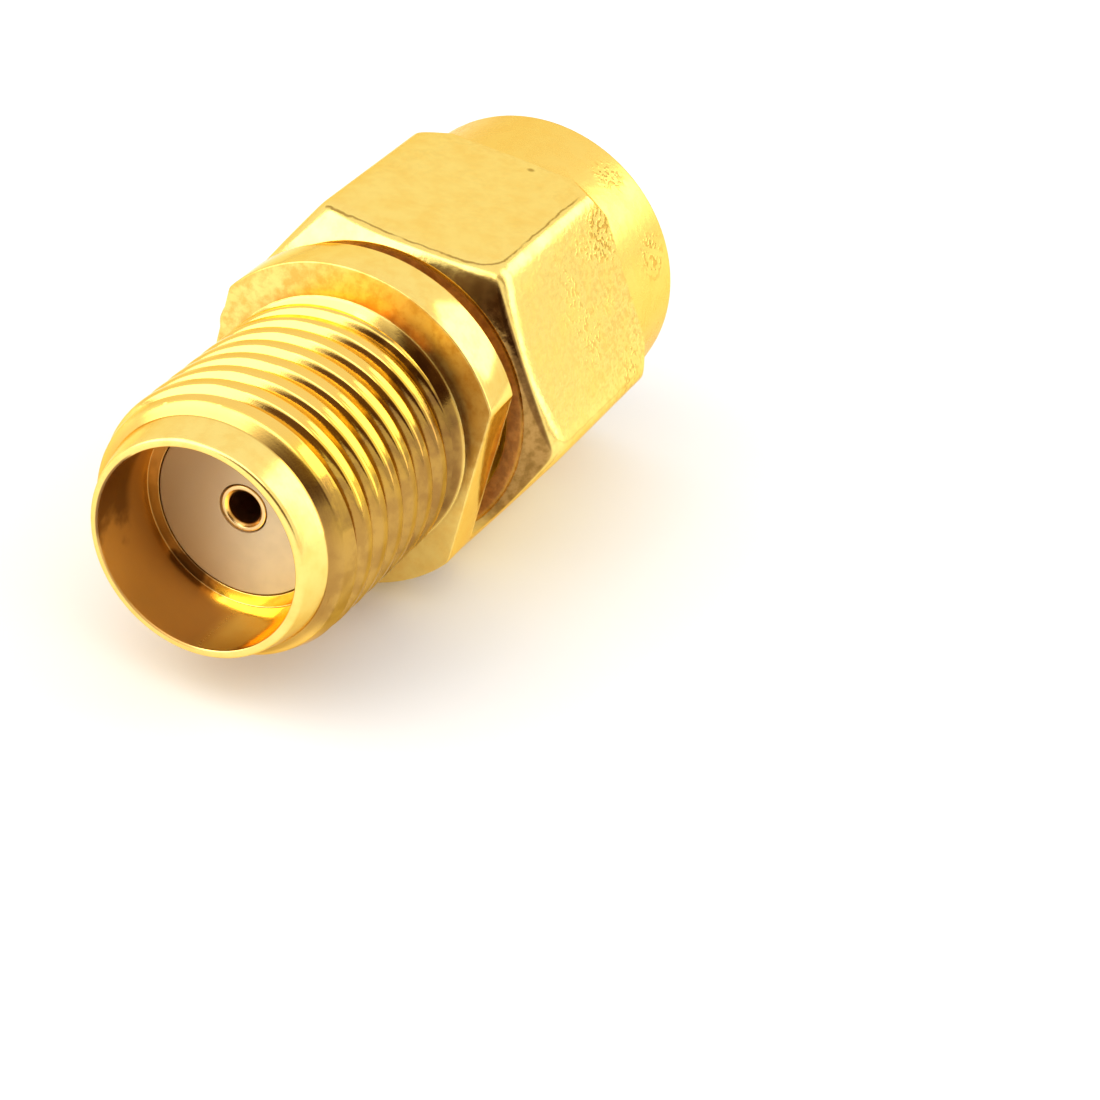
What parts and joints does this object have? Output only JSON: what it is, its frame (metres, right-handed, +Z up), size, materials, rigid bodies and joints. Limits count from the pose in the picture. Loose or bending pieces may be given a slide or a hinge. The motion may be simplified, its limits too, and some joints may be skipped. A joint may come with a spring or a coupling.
{
  "type": "coax adapter",
  "caption": "Gold-plated coaxial adapter with a threaded jack at one end and a hexagonal free-turning coupling nut round the plug at the other.",
  "frame": {"origin": "on the plane of the coupling nut's lowest flat, under the middle of the adapter's length, below the common axis", "axes": "+X along the common axis from the jack's rim to the nut's rim, +Z up, square to the flat that the nut rests on"},
  "size_m": [0.0168, 0.009, 0.0079],
  "materials": {
    "gold_plating": "gold-plated turned brass, polished, with fine turning marks",
    "nut_gold": "gold-plated brass, bright, with a faint mottled surface on the flats",
    "spring_bronze": "plain spring bronze",
    "black_rubber": "matte black rubber",
    "ptfe": "waxy white PTFE",
    "contact_gold": "gold-plated contact, smooth"
  },
  "bodies": {
    "body": {"adapter_body": "gold_plating", "snap_ring": "spring_bronze", "gasket": "black_rubber", "jack_dielectric": "ptfe", "plug_dielectric": "ptfe", "center_contact": "contact_gold"},
    "nut": {"coupling_nut": "nut_gold"}
  },
  "joints": [
    {"name": "nut_turn", "type": "hinge", "parent": "body", "child": "nut", "pos_m": [0.00156, 0, 0.00397], "axis": [1, 0, 0], "continuous": true}
  ]
}
